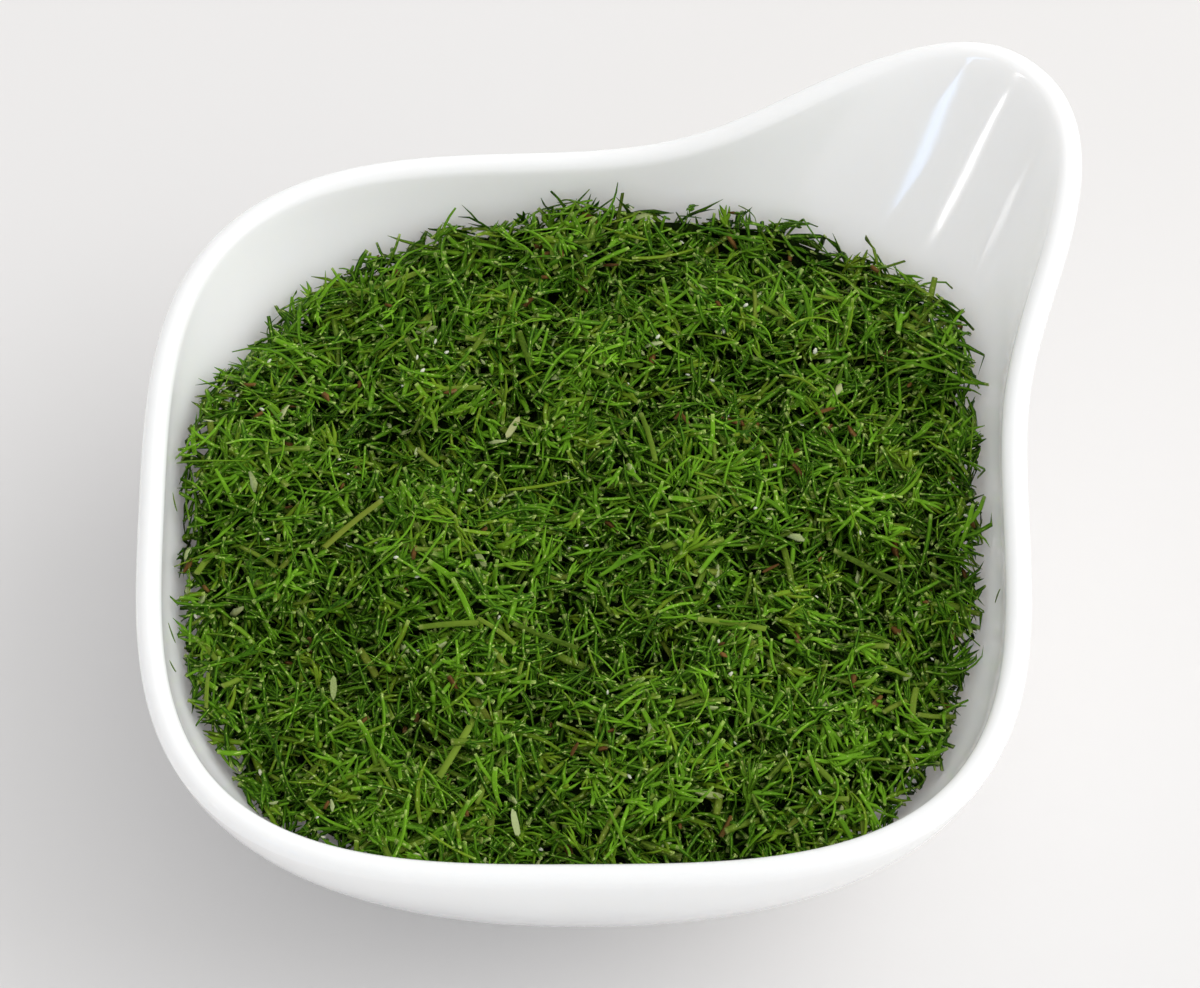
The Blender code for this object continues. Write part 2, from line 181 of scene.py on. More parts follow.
class Wiring:
    """Adds nodes to a tree and joins them. A value is a number, a colour, a socket or a Term."""

    def __init__(self, tree):
        self.tree = tree

    def feed(self, socket, value):
        value = value.socket if isinstance(value, Term) else value
        if isinstance(value, bpy.types.NodeSocket):
            self.tree.links.new(value, socket)
        else:
            socket.default_value = value

    def add(self, kind, inputs=(), **settings):
        node = self.tree.nodes.new(kind)
        for key, value in settings.items():
            setattr(node, key, value)
        for key, value in dict(inputs).items():
            self.feed(node.inputs[key], value)
        return node

    def math(self, operation, *values):
        return Term(self, self.add("ShaderNodeMath", enumerate(values), operation=operation).outputs[0])

    def vector(self, operation, *values):
        return self.add("ShaderNodeVectorMath", enumerate(values), operation=operation).outputs["Vector"]

    def scale(self, vector, amount):
        node = self.add("ShaderNodeVectorMath", {0: vector, "Scale": amount}, operation="SCALE")
        return node.outputs["Vector"]

    def length(self, vector):
        node = self.add("ShaderNodeVectorMath", {0: vector}, operation="LENGTH")
        return Term(self, node.outputs["Value"])

    def combine(self, x, y, z):
        return self.add("ShaderNodeCombineXYZ", {"X": x, "Y": y, "Z": z}).outputs[0]

    def separate(self, vector):
        return [Term(self, socket) for socket in self.add("ShaderNodeSeparateXYZ", {0: vector}).outputs]

    def ramp(self, value, low, high, to_low=0.0, to_high=1.0, kind="LINEAR"):
        """Map a value from one range to another, and hold it at the ends."""
        ends = {"Value": value, "From Min": low, "From Max": high, "To Min": to_low, "To Max": to_high}
        return Term(self, self.add("ShaderNodeMapRange", ends, interpolation_type=kind).outputs["Result"])

    def profile(self, value, points):
        """A drawn curve of straight runs through the points."""
        node = self.add("ShaderNodeFloatCurve", {"Value": value})
        curve = node.mapping.curves[0]
        for point in points[1:-1]:
            curve.points.new(*point)
        for place, point in zip(curve.points, points):
            place.location = point
            place.handle_type = "VECTOR"
        node.mapping.update()
        return Term(self, node.outputs[0])

    def noise(self, vector, scale, detail=2.0, roughness=0.5):
        values = {"Vector": vector, "Scale": scale, "Detail": detail, "Roughness": roughness}
        return Term(self, self.add("ShaderNodeTexNoise", values).outputs[0])

    def mix(self, share, first, second):
        node = self.add("ShaderNodeMix", data_type="RGBA")
        self.feed(node.inputs[0], share)
        self.feed(node.inputs[6], first)
        self.feed(node.inputs[7], second)
        return node.outputs[2]


def new_tree(name, kind, inputs, outputs):
    """A node group with named inputs and outputs, each a name and a socket type."""
    tree = bpy.data.node_groups.new(name, kind)
    for label, socket_type in inputs:
        tree.interface.new_socket(label, in_out="INPUT", socket_type=socket_type)
    for label, socket_type in outputs:
        tree.interface.new_socket(label, in_out="OUTPUT", socket_type=socket_type)
    w = Wiring(tree)
    return w, w.add("NodeGroupInput"), w.add("NodeGroupOutput")


def geometry_tree(name, inputs):
    """A Geometry Nodes tree that takes and gives a geometry."""
    return new_tree(name, "GeometryNodeTree", [("Geometry", GEOMETRY), *inputs], [("Geometry", GEOMETRY)])


def place_group(w, tree, values):
    """A node that runs this group with these values, in a tree of either kind."""
    kind = "ShaderNodeGroup" if tree.bl_idname == "ShaderNodeTree" else "GeometryNodeGroup"
    node = w.add(kind, node_tree=tree)
    for key, value in values.items():
        w.feed(node.inputs[key], value)
    return node


def finish_tree(w, start, end, geometry):
    """End a tree: the geometry made real, in the material that the tree is given."""
    real = w.add("GeometryNodeRealizeInstances", {"Geometry": geometry})
    dressing = {"Geometry": real.outputs[0], "Material": start.outputs["Material"]}
    clad = w.add("GeometryNodeSetMaterial", dressing)
    w.feed(end.inputs["Geometry"], clad.outputs[0])
    return w.tree


def grow(name, tree, values, mesh=None):
    """Run a Geometry Nodes tree with these input values, and return its result as a plain object."""
    seed = bpy.data.objects.new(name, mesh or bpy.data.meshes.new(name))
    bpy.context.scene.collection.objects.link(seed)
    modifier = seed.modifiers.new(tree.name, "NODES")
    modifier.node_group = tree
    for item in tree.interface.items_tree:
        if item.in_out == "INPUT" and item.name in values:
            modifier[item.identifier] = values[item.name]
    return plain(name, seed)


def plain(name, made):
    """A plain object with the mesh that this one's modifiers make, in its place."""
    bpy.context.view_layer.update()
    graph = bpy.context.evaluated_depsgraph_get()
    final = made.evaluated_get(graph)
    mesh = bpy.data.meshes.new_from_object(final, preserve_all_data_layers=True, depsgraph=graph)
    bpy.data.objects.remove(made)
    mesh.name = name
    piece = bpy.data.objects.new(name, mesh)
    bpy.context.scene.collection.objects.link(piece)
    return piece


# The dish


def wall_point_tree():
    """A point of the outer wall: Turn goes round the dish, Rise from the foot at 0 to the rim at 1."""
    inputs = [("Turn", FLOAT), ("Rise", FLOAT)] + [(name, FLOAT) for name in DISH_SIZES]
    w, start, end = new_tree("wall_point", "GeometryNodeTree", inputs, [("Point", VECTOR)])
    size = {name: Term(w, start.outputs[name]) for name, _ in inputs}
    turn = size["Turn"]
    cosine, sine = w.math("COSINE", turn), w.math("SINE", turn)

    def squarish(half, squareness):
        across = w.math("ABSOLUTE", cosine) ** squareness
        along = w.math("ABSOLUTE", sine) ** squareness
        return half * (across + along) ** (-1.0 / squareness)

    away = w.math("ABSOLUTE", w.math("WRAP", turn - size["Handle Turn"], math.pi, -math.pi))
    handle = w.math("EXPONENT", 0.0 - (away / size["Handle Spread"]) ** size["Handle Bluntness"])
    lift = w.math("EXPONENT", 0.0 - (away / size["Rise Spread"]) ** 2.0)
    rim = squarish(size["Body Half"], size["Body Squareness"]) + size["Handle Reach"] * handle
    foot = squarish(size["Foot Half"], size["Foot Squareness"])
    corner = size["Corner Flare"] * w.math("SINE", turn * 2.0) ** 2.0
    flare = corner + (size["Handle Flare"] - corner) * handle
    down = 1.0 - size["Rise"]
    tuck = (1.0 - flare) * down * down + flare * down
    reach = rim - (rim - foot) * tuck
    top = size["Rim Height"] + size["Handle Rise"] * lift - size["Wall"] / 2.0
    height = size["Foot Height"] + (top - size["Foot Height"]) * size["Rise"]
    w.feed(end.inputs["Point"], w.combine(reach * cosine, reach * sine, height))
    return w.tree


def dish_tree():
    """The whole dish as one closed skin: a sheet of turns and section steps, bent to the dish's rule."""
    sizes = [(name, FLOAT) for name in DISH_SIZES]
    inputs = [("Turns", INTEGER), ("Section Steps", INTEGER), ("Material", MATERIAL), *sizes]
    w, start, end = geometry_tree("bent_dish", inputs)
    wall_point = wall_point_tree()
    counts = {"Vertices X": start.outputs["Turns"], "Vertices Y": start.outputs["Section Steps"]}
    sheet = w.add("GeometryNodeMeshGrid", {"Size X": 1.0, "Size Y": 1.0, **counts})
    across, along, _ = w.separate(w.add("GeometryNodeInputPosition").outputs[0])
    turn = (across + 0.5) * math.tau
    travel = along + 0.5

    def point_at(turn, rise):
        own = {name: start.outputs[name] for name in DISH_SIZES}
        return place_group(w, wall_point, {"Turn": turn, "Rise": rise, **own}).outputs["Point"]

    foot_travel = w.ramp(travel, 0.0, FOOT_END)
    climb = w.ramp(travel, FOOT_END, RIM_START)
    swing = w.ramp(travel, RIM_START, RIM_END, 0.0, math.pi)
    descent = w.ramp(travel, RIM_END, FLOOR_START, 1.0, 0.0)
    floor_travel = w.ramp(travel, FLOOR_START, 1.0)
    rise = w.math("MINIMUM", climb, descent)

    here = point_at(turn, rise)
    beside = w.vector("SUBTRACT", point_at(turn + SLOPE_STEP, rise), here)
    up = w.vector("NORMALIZE", w.vector("SUBTRACT", here, point_at(turn, rise - SLOPE_STEP)))
    out = w.vector("NORMALIZE", w.vector("CROSS_PRODUCT", beside, up))
    half_wall = Term(w, start.outputs["Wall"]) / 2.0
    outward = w.scale(out, half_wall * (w.math("COSINE", swing) - 1.0))
    upward = w.scale(up, half_wall * w.math("SINE", swing))
    x, y, z = w.separate(w.vector("ADD", here, w.vector("ADD", outward, upward)))

    spread = w.profile(foot_travel, FOOT_SPREAD) * (1.0 - floor_travel)
    floor_drop = w.ramp(floor_travel, 0.0, 0.5, kind="SMOOTHSTEP")
    inside = z + (FLOOR_HEIGHT - z) * floor_drop
    under = w.profile(foot_travel, FOOT_HEIGHTS) * start.outputs["Foot Height"]
    above = w.math("GREATER_THAN", travel, FOOT_END)
    height = under + (inside - under) * above
    place = w.vector("ADD", w.combine(x * spread, y * spread, height), tuple(MIDDLE))

    bent = w.add("GeometryNodeSetPosition", {"Geometry": sheet.outputs["Mesh"], "Position": place})
    closed = w.add("GeometryNodeMergeByDistance", {"Geometry": bent.outputs[0], "Distance": SEAM})
    smooth = w.add("GeometryNodeSetShadeSmooth", {"Geometry": closed.outputs[0]})
    return finish_tree(w, start, end, smooth.outputs[0])


def make_dish():
    """The porcelain dish, in place of its plain solid."""
    counts = {"Turns": DISH_TURNS, "Section Steps": SECTION_STEPS}
    values = {**counts, "Material": glazed_porcelain(), **DISH_SIZES}
    dish = grow("porcelain_dish", dish_tree(), values)
    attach(dish, "root")
    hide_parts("dish")
    return dish


# Finishes

# Fineness of the patterns, as how many to the metre
GLAZE_CLOUDS = 30.0
CLAY_GRIT = 2500.0
LEAF_PATCHES = 95.0
# The painted glints: how fine the pale specks are that stand in for highlights
PAINTED_GLINT_SPECKS = 2400.0
DEPTH_SCRAPS = 900.0
TABLE_CLOUDS = 4.0

# Sizes of the reliefs
GLAZE_WAVE = 0.012
GLAZE_DEPTH = 0.00003
STREAK_DEPTH = 0.00006
SCRAP_HEIGHT = 0.0006
BARE_HEIGHTS = (0.00025, 0.0004)  # the foot is bare under the first height, glazed over the second
GROOVE_PLACE = 0.333  # where the groove on top of a blade is, as a share of the way round it
AGE_SHUFFLE = 7.31  # spreads the aged cuttings over all the tints

# Each pair is the two ends that a pattern mixes
GLAZE_COLOURS = ((0.925, 0.93, 0.928, 1), (0.94, 0.942, 0.936, 1))
CLAY_COLOURS = ((0.70, 0.69, 0.66, 1), (0.80, 0.79, 0.76, 1))
# The heap's core, painted near black green as the shade between the cuttings, with lighter scraps
CORE_SHADE_COLOURS = ((0.004, 0.010, 0.001, 1), (0.016, 0.034, 0.002, 1))
TABLE_COLOURS = ((0.745, 0.732, 0.728, 1), (0.762, 0.750, 0.744, 1))

# The colours of leaf and stem, each set in the order of these names. The last colour is the cut ends'
# own, and is also painted on as glints of highlight.
LEAF_COLOUR_NAMES = ("Dark", "Middle", "Bright", "Aged", "Cut End")
LEAF_COLOURS = (
    (0.003, 0.016, 0.0004, 1),
    (0.013, 0.060, 0.0012, 1),
    (0.152, 0.350, 0.015, 1),
    (0.165, 0.220, 0.014, 1),
    (0.520, 0.640, 0.190, 1),
)
STEM_COLOURS = (
    (0.020, 0.045, 0.002, 1),
    (0.055, 0.110, 0.006, 1),
    (0.170, 0.260, 0.025, 1),
    (0.160, 0.180, 0.022, 1),
    (0.310, 0.360, 0.100, 1),
)
PALE_COLOURS = (
    (0.140, 0.200, 0.045, 1),
    (0.260, 0.320, 0.110, 1),
    (0.440, 0.510, 0.260, 1),
    (0.380, 0.380, 0.170, 1),
    (0.420, 0.460, 0.260, 1),
)
GRAIN_COLOURS = (
    (0.300, 0.340, 0.200, 1),
    (0.450, 0.480, 0.350, 1),
    (0.680, 0.700, 0.580, 1),
    (0.500, 0.480, 0.330, 1),
    (0.600, 0.620, 0.480, 1),
)
BROWN_COLOURS = (
    (0.030, 0.015, 0.004, 1),
    (0.090, 0.040, 0.010, 1),
    (0.180, 0.090, 0.025, 1),
    (0.200, 0.120, 0.030, 1),
    (0.220, 0.150, 0.060, 1),
)


def new_material(name, **constants):
    """A material with its Principled shader, and the constant values set on the shader itself."""
    material = bpy.data.materials.new(name)
    material.use_nodes = True
    w = Wiring(material.node_tree)
    shader = material.node_tree.nodes["Principled BSDF"]
    for label, value in constants.items():
        shader.inputs[label.replace("_", " ")].default_value = value
    return material, w, shader


def uneven_group():
    """The slight unevenness of a glazed surface, as a bump with waves of this size and depth."""
    inputs = [("Vector", VECTOR), ("Size", FLOAT), ("Depth", FLOAT)]
    w, start, end = new_tree("soft_unevenness", "ShaderNodeTree", inputs, [("Normal", VECTOR)])
    wander = w.noise(start.outputs["Vector"], 1.0 / Term(w, start.outputs["Size"]), 3.0)
    relief = {"Height": wander, "Strength": 1.0, "Distance": start.outputs["Depth"]}
    w.feed(end.inputs["Normal"], w.add("ShaderNodeBump", relief).outputs[0])
    return w.tree


UNEVEN = uneven_group()


def glazed_porcelain():
    """White body under clear glaze, bare and slightly rough on the foot ring's edge."""
    material, w, shader = new_material(
        "glazed_porcelain",
        IOR=1.5,
        Subsurface_Weight=0.9,
        Subsurface_Radius=(1.0, 0.95, 0.9),
        Subsurface_Scale=0.007,
    )
    where = w.add("ShaderNodeTexCoord").outputs["Object"]
    wavy = place_group(w, UNEVEN, {"Vector": where, "Size": GLAZE_WAVE, "Depth": GLAZE_DEPTH})
    cloud = w.noise(where, GLAZE_CLOUDS, 2.0)
    white = w.mix(w.ramp(cloud, 0.35, 0.65), *GLAZE_COLOURS)
    bare = w.ramp(w.separate(where)[2], *BARE_HEIGHTS, 1.0, 0.0)
    grit = w.noise(where, CLAY_GRIT, 2.0)
    clay = w.mix(grit, *CLAY_COLOURS)
    w.feed(shader.inputs["Base Color"], w.mix(bare, white, clay))
    w.feed(shader.inputs["Roughness"], w.ramp(cloud, 0.3, 0.7, 0.06, 0.09) + bare * 0.6)
    w.feed(shader.inputs["Normal"], wavy.outputs["Normal"])
    return material


def leaf_colour_group():
    """The colour of a cut leaf or stem.

    It goes from dark to bright with its tint. Some are yellowed with age. It is streaked, paler
    where it is cut, has a paler rib along its groove that is partly a painted highlight, and has
    small painted glints of highlight in the cut ends' colour.
    """
    inputs = [("Tint", FLOAT), ("Skin", VECTOR), ("Where", VECTOR)]
    inputs += [(name, COLOUR) for name in LEAF_COLOUR_NAMES]
    outputs = [("Color", COLOUR), ("Streak", FLOAT)]
    w, start, end = new_tree("leaf_colour", "ShaderNodeTree", inputs, outputs)
    given = start.outputs
    own = Term(w, given["Tint"])
    along, around, _ = w.separate(given["Skin"])
    patch = w.noise(given["Where"], LEAF_PATCHES, 2.0)
    tint = own * 0.75 + w.ramp(patch, 0.3, 0.7, -0.05, 0.32)
    lower = w.mix(w.ramp(tint, 0.1, 0.5), given["Dark"], given["Middle"])
    fresh = w.mix(w.ramp(tint, 0.5, 0.95), lower, given["Bright"])
    age = w.ramp(w.math("FRACT", own * AGE_SHUFFLE), 0.78, 1.0, 0.0, 0.8)
    body = w.mix(age, fresh, given["Aged"])
    lines = w.noise(w.combine(along * 2.0, around, own * 60.0), 9.0, 3.0)
    # A paler line along the groove on top: partly the midrib's own colour, partly a painted highlight
    midrib_and_highlight = w.ramp(w.math("ABSOLUTE", around - GROOVE_PLACE), 0.0, 0.12, 0.5, 0.0)
    streaks_and_highlight = w.mix(w.ramp(lines, 0.4, 0.75, 0.0, 0.45) + midrib_and_highlight, body, given["Bright"])
    cut = w.ramp(along, 0.0, 0.10, 0.8, 0.0) * w.ramp(lines, 0.3, 0.6)
    # Painted glints: small pale specks near the groove, in the cut ends' colour, that stand in for
    # highlights
    glint_noise = w.noise(given["Where"], PAINTED_GLINT_SPECKS, 1.0)
    painted_glint = w.ramp(glint_noise, 0.61, 0.69, 0.0, 0.85) * w.ramp(midrib_and_highlight, 0.0, 0.25)
    w.feed(end.inputs["Color"], w.mix(cut + painted_glint, streaks_and_highlight, given["Cut End"]))
    w.feed(end.inputs["Streak"], lines)
    return w.tree


LEAF_COLOUR = leaf_colour_group()


def leaf_finish(name, colours, gloss=0.34):
    """A waxy leaf or stem skin, coloured by each cutting's own tint."""
    material, w, shader = new_material(name, IOR=1.38, Specular_IOR_Level=0.08)
    tint = w.add("ShaderNodeAttribute", attribute_name="tint").outputs["Fac"]
    skin = w.add("ShaderNodeAttribute", attribute_name="skin").outputs["Vector"]
    where = w.add("ShaderNodeTexCoord").outputs["Object"]
    painted = dict(zip(LEAF_COLOUR_NAMES, colours))
    colour = place_group(w, LEAF_COLOUR, {"Tint": tint, "Skin": skin, "Where": where, **painted})
    streak = Term(w, colour.outputs["Streak"])
    groove = w.add("ShaderNodeBump", {"Height": streak, "Strength": 0.35, "Distance": STREAK_DEPTH})
    w.feed(shader.inputs["Base Color"], colour.outputs["Color"])
    w.feed(shader.inputs["Roughness"], w.ramp(streak, 0.3, 0.7, gloss - 0.07, gloss + 0.1))
    w.feed(shader.inputs["Normal"], groove.outputs[0])
    return material


def depths_finish():
    """Packed dill seen in the gaps, painted nearly black green as the shade down between the cuttings,
    with lighter scraps.
    """
    material, w, shader = new_material("dill_depths", Specular_IOR_Level=0.05)
    where = w.add("ShaderNodeTexCoord").outputs["Object"]
    scraps = w.noise(w.vector("MULTIPLY", where, (1.0, 1.0, 0.4)), DEPTH_SCRAPS, 3.0, 0.65)
    colour = w.mix(w.ramp(scraps, 0.42, 0.7), *CORE_SHADE_COLOURS)
    lift = w.add("ShaderNodeBump", {"Height": scraps, "Strength": 1.0, "Distance": SCRAP_HEIGHT})
    w.feed(shader.inputs["Base Color"], colour)
    w.feed(shader.inputs["Roughness"], w.ramp(scraps, 0.3, 0.7, 0.7, 0.95))
    w.feed(shader.inputs["Normal"], lift.outputs[0])
    return material


# Small shapes to strew

# A blade's section: a flattened leaf with a groove along its top
GROOVED = ((1.0, 0.0), (0.55, 0.75), (0.0, 0.25), (-0.55, 0.75), (-1.0, 0.0), (0.0, -0.8))
ROUNDED = ((1.0, 0.0), (0.3, 0.9), (-0.8, 0.6), (-0.8, -0.6), (0.3, -0.9))
SLIM = ((1.0, 0.0), (0.0, 0.9), (-1.0, 0.0), (0.0, -0.9))


def add_blade(shape, skin, points, widths, flatness, section=GROOVED, first_share=0.0):
    """A closed tapered blade through the points: a section of this width at each, with capped ends."""
    steps, sides = len(points) - 1, len(section)
    rings = []
    for k, (point, width) in enumerate(zip(points, widths)):
        ahead = (points[min(k + 1, steps)] - points[max(k - 1, 0)]).normalized()
        side = ahead.cross(Vector((0, 0, 1))).normalized()
        up = side.cross(ahead) * flatness
        rings.append([shape.verts.new(point + (side * x + up * z) * width / 2) for x, z in section])
    for k in range(steps):
        for s in range(sides):
            t = (s + 1) % sides
            face = shape.faces.new((rings[k][s], rings[k][t], rings[k + 1][t], rings[k + 1][s]))
            face.smooth = True
            corners = ((k, s), (k, s + 1), (k + 1, s + 1), (k + 1, s))
            for loop, (along, around) in zip(face.loops, corners):
                loop[skin].uv = (first_share + (1 - first_share) * along / steps, around / sides)
    for ring, share in ((rings[0][::-1], first_share), (rings[-1], 1.0)):
        face = shape.faces.new(ring)
        for s, loop in enumerate(face.loops):
            loop[skin].uv = (share, s / sides)


def arc(length, bow, arch, steps):
    """Points along X from one end to the other, bowed sideways and arched upwards."""
    shares = [k / steps for k in range(steps + 1)]
    return [Vector((length * (s - 0.5), 4 * bow * s * (1 - s), 4 * arch * s * (1 - s))) for s in shares]


def needle_shape(shape, skin, draw):
    length = draw.uniform(0.0026, 0.0072)
    width = draw.uniform(0.00034, 0.00056)
    points = arc(length, length * draw.uniform(-0.10, 0.10), length * draw.uniform(-0.03, 0.07), 4)
    tip = draw.choice((0.1, 0.2, 0.6))
    add_blade(shape, skin, points, [width * s for s in (0.8, 1.0, 0.95, 0.75, tip)], 0.5)


def fork_shape(shape, skin, draw):
    """A leaf tip: a short stalk that ends in a fan of pointed leaflets."""
    length = draw.uniform(0.0026, 0.0054)
    width = draw.uniform(0.00042, 0.00056)
    stalk = arc(length, length * draw.uniform(-0.10, 0.10), length * 0.03, 3)
    add_blade(shape, skin, stalk, [width * s for s in (0.85, 1.1, 0.85, 0.15)], 0.55)
    side = draw.choice((-1, 1))
    for share in draw.choice(((0.3, 0.5), (0.2, 0.4), (0.25, 0.42, 0.6))):
        side = -side
        root = stalk[0].lerp(stalk[3], share) + Vector((0, stalk[1].y * 0.8, stalk[1].z * 0.8))
        reach = length * draw.uniform(0.36, 0.66) * (1.15 - 0.5 * share)
        angle = side * draw.uniform(0.3, 0.75)
        heading = Vector((math.cos(angle), math.sin(angle), draw.uniform(-0.12, 0.25)))
        curl = Vector((0.25, -side * 0.22, 0)) * reach
        leaflet = [root, root + heading * reach * 0.5, root + heading * reach + curl * 0.5]
        add_blade(shape, skin, leaflet, [width * s for s in (0.85, 0.9, 0.14)], 0.55, SLIM, 0.35)


def wisp_shape(shape, skin, draw):
    """A long thin curved strand."""
    length = draw.uniform(0.0045, 0.0085)
    width = draw.uniform(0.00030, 0.00040)
    points = arc(length, length * draw.choice((-1, 1)) * draw.uniform(0.05, 0.22), length * 0.08, 7)
    add_blade(shape, skin, points, [width * s for s in (0.7, 1, 1, 0.95, 0.9, 0.8, 0.6, 0.3)], 0.7, SLIM)


def crumb_shape(shape, skin, draw):
    length = draw.uniform(0.0007, 0.0019)
    width = draw.uniform(0.00036, 0.00066)
    points = arc(length, length * draw.uniform(-0.1, 0.1), 0.0, 2)
    add_blade(shape, skin, points, [width * s for s in (0.8, 1.0, draw.uniform(0.3, 0.8))], 0.5, SLIM)


def stem_shape(shape, skin, draw):
    """A slice of stem: wider, flattened and cut square."""
    length = draw.uniform(0.0030, 0.0070)
    width = draw.uniform(0.0006, 0.00100)
    points = arc(length, length * draw.uniform(-0.06, 0.06), 0.0, 3)
    add_blade(shape, skin, points, [width * s for s in (0.95, 1.0, 1.0, 0.9)], 0.45)


def chip_shape(shape, skin, draw):
    """A thin chip of leaf base."""
    length = draw.uniform(0.0010, 0.0026)
    width = length * draw.uniform(0.3, 0.6)
    points = arc(length, length * draw.uniform(-0.12, 0.12), length * 0.05, 3)
    add_blade(shape, skin, points, [width * s for s in (0.3, 1.0, 0.7, 0.35)], 0.16, ROUNDED)


def grain_shape(shape, skin, draw):
    """A small clear-white grain."""
    length = draw.uniform(0.0004, 0.0008)
    width = length * draw.uniform(0.6, 0.9)
    add_blade(shape, skin, arc(length, 0.0, 0.0, 2), [width * s for s in (0.6, 1.0, 0.5)], 0.7, ROUNDED)


def shape_shelf(name, kinds, seed):
    """A collection of small shapes, so many of each kind, to be strewn as instances."""
    draw = random.Random(seed)
    shelf = bpy.data.collections.new(name)
    for make, count in kinds:
        for number in range(count):
            shape = bmesh.new()
            skin = shape.loops.layers.uv.new("skin")
            make(shape, skin, draw)
            mesh = bpy.data.meshes.new(f"{name}_{make.__name__}_{number:02d}")
            shape.to_mesh(mesh)
            shape.free()
            shelf.objects.link(bpy.data.objects.new(mesh.name, mesh))
    return shelf


# The heap


def clump_tree():
    """How much the heap rises or sinks here: soft clumps with finer hummocks on them."""
    inputs = [("Clump Size", FLOAT), ("Clump Height", FLOAT)]
    w, start, end = new_tree("clump_lift", "GeometryNodeTree", inputs, [("Lift", FLOAT)])
    where = w.add("GeometryNodeInputPosition").outputs[0]
    size = Term(w, start.outputs["Clump Size"])
    broad = w.noise(where, 1.0 / size, 1.0) - 0.5
    fine = w.noise(where, 3.2 / size, 1.0) - 0.5
    w.feed(end.inputs["Lift"], (broad * 2.0 + fine * 0.9) * start.outputs["Clump Height"])
    return w.tree


def core_tree(clumps):
    """The heap's inside, painted dark as the shade under the loose cuttings: the mound, roughened and
    sunk a little under them.
    """
    inputs = [("Sink", FLOAT), ("Inset", FLOAT), ("Clump Size", FLOAT), ("Clump Height", FLOAT)]
    w, start, end = geometry_tree("dill_core", [*inputs, ("Material", MATERIAL)])
    values = {name: start.outputs[name] for name in ("Clump Size", "Clump Height")}
    lift = Term(w, place_group(w, clumps, values).outputs["Lift"])
    facing = w.separate(w.add("GeometryNodeInputNormal").outputs[0])[2]
    top = w.ramp(facing, 0.3, 0.8)
    where = w.add("GeometryNodeInputPosition").outputs[0]
    x, y, _ = w.separate(w.vector("SUBTRACT", where, tuple(MIDDLE)))
    inset = start.outputs["Inset"]
    drop = w.math("MINIMUM", lift, 0.0) - start.outputs["Sink"]
    offset = w.combine(x * inset, y * inset, drop * top)
    moved = w.add("GeometryNodeSetPosition", {"Geometry": start.outputs["Geometry"], "Offset": offset})
    smooth = w.add("GeometryNodeSetShadeSmooth", {"Geometry": moved.outputs[0]})
    return finish_tree(w, start, end, smooth.outputs[0])


STREW_INPUTS = [
    ("Shapes", COLLECTION),
    ("Dish", OBJECT),
    ("Density", FLOAT),
    ("Hollow Share", FLOAT),
    ("Low", FLOAT),
    ("High", FLOAT),
    ("Tilt", FLOAT),
    ("Tint Low", FLOAT),
    ("Tint High", FLOAT),
    ("Scale Low", FLOAT),
    ("Scale High", FLOAT),
    ("Clump Size", FLOAT),
    ("Clump Height", FLOAT),
    ("Wall Gap", FLOAT),
    ("Cells", INTEGER),
    ("Seed", INTEGER),
    ("Material", MATERIAL),
]


